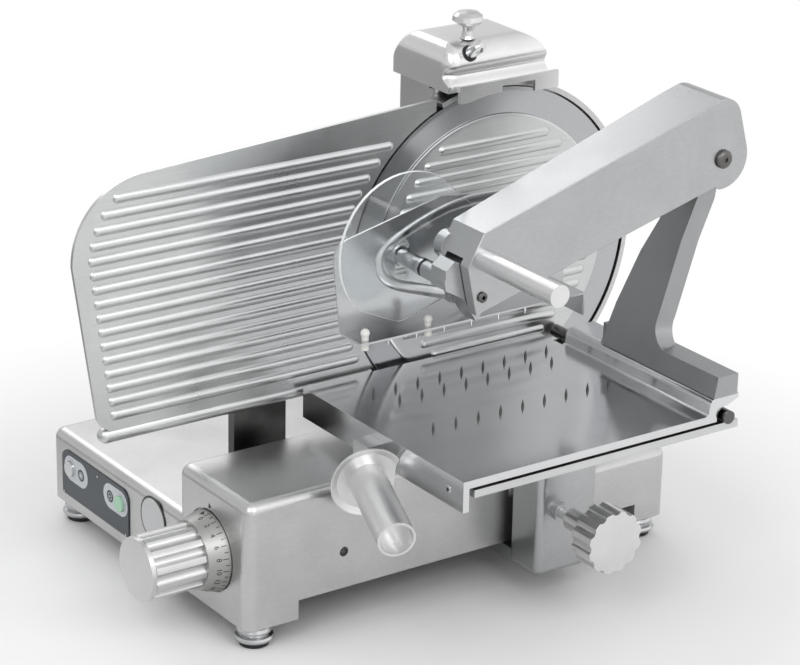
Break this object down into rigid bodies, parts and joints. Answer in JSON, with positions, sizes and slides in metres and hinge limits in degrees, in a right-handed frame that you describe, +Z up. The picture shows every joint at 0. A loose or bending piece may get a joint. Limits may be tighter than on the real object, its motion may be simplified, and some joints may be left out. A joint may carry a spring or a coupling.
{
  "type": "food slicer",
  "caption": "Vertical food slicer with a round blade, ribbed gauge plate, sliding spiked product plate, swinging press arm and built-in sharpener.",
  "frame": {"origin": "on the table, under the centre of the machine's bounding box", "axes": "+X to the operator's right along the carriage's travel, +Y away from the operator along the blade's axis, +Z up"},
  "size_m": [0.6754, 0.602, 0.5668],
  "materials": {
    "cast_aluminium": "satin polished casting",
    "dark_aluminium": "satin casting",
    "anodised_aluminium": "brushed and anodised",
    "polished_plate": "bright, close to a mirror",
    "blade_steel": "ground and chromed",
    "turned_aluminium": "turned, satin",
    "dial_face": "satin face with black graduations",
    "machined_steel": "machined",
    "dark_steel": "blackened",
    "sheet_cover": "brushed sheet",
    "plain_aluminium": "machined",
    "bronze": "sintered bronze",
    "black_rubber": "moulded",
    "black_plastic": "moulded, fine grain",
    "white_plastic": "moulded",
    "bearing_steel": "ground",
    "panel_film": "printed film",
    "circuit_green": "lacquered board",
    "clear_acrylic": "clear sheet",
    "chrome_button": "chromed",
    "green_button": "moulded",
    "grey_abrasive": "bonded abrasive",
    "brown_abrasive": "bonded abrasive"
  },
  "bodies": {
    "base": {"base_casting": "cast_aluminium", "bottom_plate": "sheet_cover", "feet": "machined_steel", "foot_pads": "black_rubber", "control_panel": "panel_film", "circuit_board": "circuit_green", "cable_gland": "black_plastic", "guide_bars": "machined_steel", "blade_column": "cast_aluminium", "motor_cover": "sheet_cover", "motor_housing": "dark_steel", "spindle_bearings": "bearing_steel", "drive_belt": "black_rubber", "ring_guard": "cast_aluminium", "sharpener_bracket": "cast_aluminium", "sharpener_hood": "cast_aluminium", "gauge_guide": "plain_aluminium", "blade_cover": "anodised_aluminium"},
    "blade": {"blade": "blade_steel", "blade_spindle": "machined_steel", "blade_pulley": "plain_aluminium", "blade_screws": "machined_steel"},
    "motor_rotor": {"motor_shaft": "machined_steel", "motor_pulley": "plain_aluminium"},
    "cover_release": {"cover_tie_rod": "machined_steel", "cover_release_knob": "black_plastic"},
    "thickness_control": {"thickness_knob": "turned_aluminium", "thickness_dial": "dial_face", "knob_shaft": "machined_steel", "scroll_cam": "bronze"},
    "gauge": {"gauge_plate": "anodised_aluminium", "gauge_support": "dark_steel", "gauge_slide": "machined_steel"},
    "carriage": {"carriage_column": "cast_aluminium", "slide_block": "plain_aluminium", "slide_bushes": "bronze", "lower_plate": "anodised_aluminium", "guide_rod": "dark_steel", "glide_strips": "white_plastic"},
    "carriage_lock": {"lock_knob": "turned_aluminium"},
    "tray": {"product_plate": "polished_plate", "plate_spikes": "machined_steel", "rod_bushes": "bronze", "arm_post": "dark_aluminium", "plate_handle": "turned_aluminium"},
    "arm": {"press_arm": "cast_aluminium", "arm_pivot_pin": "machined_steel", "arm_handle": "turned_aluminium"},
    "head": {"press_head": "cast_aluminium", "press_stud": "machined_steel", "clear_guard": "clear_acrylic"},
    "press": {"press_plate": "anodised_aluminium", "ball_pins": "white_plastic"},
    "stop": {"stop_button": "chrome_button"},
    "start": {"start_button": "green_button"},
    "hood_clamp": {"sharpener_knob": "turned_aluminium"},
    "sharpening_push": {"sharpening_button": "turned_aluminium"},
    "grinder": {"grinding_stone": "grey_abrasive"},
    "honer": {"honing_stone": "brown_abrasive"}
  },
  "joints": [
    {"name": "blade_spin", "type": "hinge", "parent": "base", "child": "blade", "pos_m": [0.15525, 0.062, 0.309], "axis": [0, 1, 0], "continuous": true},
    {"name": "motor_spin", "type": "hinge", "parent": "base", "child": "motor_rotor", "pos_m": [0.15525, 0.122, 0.181], "axis": [0, 1, 0], "continuous": true},
    {"name": "cover_release_turn", "type": "hinge", "parent": "base", "child": "cover_release", "pos_m": [0.15525, 0.122, 0.309], "axis": [0, 1, 0], "range_deg": [0, 360]},
    {"name": "thickness_turn", "type": "hinge", "parent": "base", "child": "thickness_control", "pos_m": [-0.27475, -0.036, 0.087], "axis": [-1, 0, 0], "range_deg": [0, 300]},
    {"name": "gauge_slide", "type": "slide", "parent": "base", "child": "gauge", "axis": [0, 1, 0], "range_m": [0, 0.015]},
    {"name": "carriage_slide", "type": "slide", "parent": "base", "child": "carriage", "axis": [1, 0, 0], "range_m": [-0.245, 0.085]},
    {"name": "lock_turn", "type": "hinge", "parent": "carriage", "child": "carriage_lock", "pos_m": [0.10725, -0.228, 0.096], "axis": [0, 1, 0], "range_deg": [0, 180]},
    {"name": "plate_slide", "type": "slide", "parent": "carriage", "child": "tray", "axis": [0, 1, 0], "range_m": [-0.14, 0]},
    {"name": "arm_swing", "type": "hinge", "parent": "tray", "child": "arm", "pos_m": [0.28025, -0.153, 0.446], "axis": [0, 1, 0], "range_deg": [-12, 60]},
    {"name": "head_swing", "type": "hinge", "parent": "arm", "child": "head", "pos_m": [-0.01375, -0.158, 0.357], "axis": [0, -1, 0], "range_deg": [0, 30]},
    {"name": "press_turn", "type": "hinge", "parent": "head", "child": "press", "pos_m": [-0.03875, -0.083, 0.373], "axis": [0, 1, 0], "range_deg": [-8, 8]},
    {"name": "stop_press", "type": "slide", "parent": "base", "child": "stop", "axis": [1, 0, 0], "range_m": [0, 0.0025], "stiffness_N_per_m": 600},
    {"name": "start_press", "type": "slide", "parent": "base", "child": "start", "axis": [1, 0, 0], "range_m": [0, 0.0025], "stiffness_N_per_m": 600},
    {"name": "hood_clamp_turn", "type": "hinge", "parent": "base", "child": "hood_clamp", "pos_m": [0.12725, 0.044, 0.549], "axis": [0, 0, 1], "range_deg": [0, 360]},
    {"name": "sharpening_press", "type": "slide", "parent": "base", "child": "sharpening_push", "axis": [0, 0.8387, -0.5446], "range_m": [0, 0.005], "stiffness_N_per_m": 800},
    {"name": "grinding_spin", "type": "hinge", "parent": "base", "child": "grinder", "pos_m": [0.11525, 0.062, 0.5075], "axis": [0, 1, 0], "continuous": true},
    {"name": "honing_spin", "type": "hinge", "parent": "base", "child": "honer", "pos_m": [0.17125, 0.062, 0.5075], "axis": [0, 1, 0], "continuous": true}
  ],
  "couplings": [
    {"joint": "motor_spin", "follows": "blade_spin", "ratio": 3.0556},
    {"joint": "gauge_slide", "follows": "thickness_turn", "m_per_rad": 0.0028647}
  ]
}
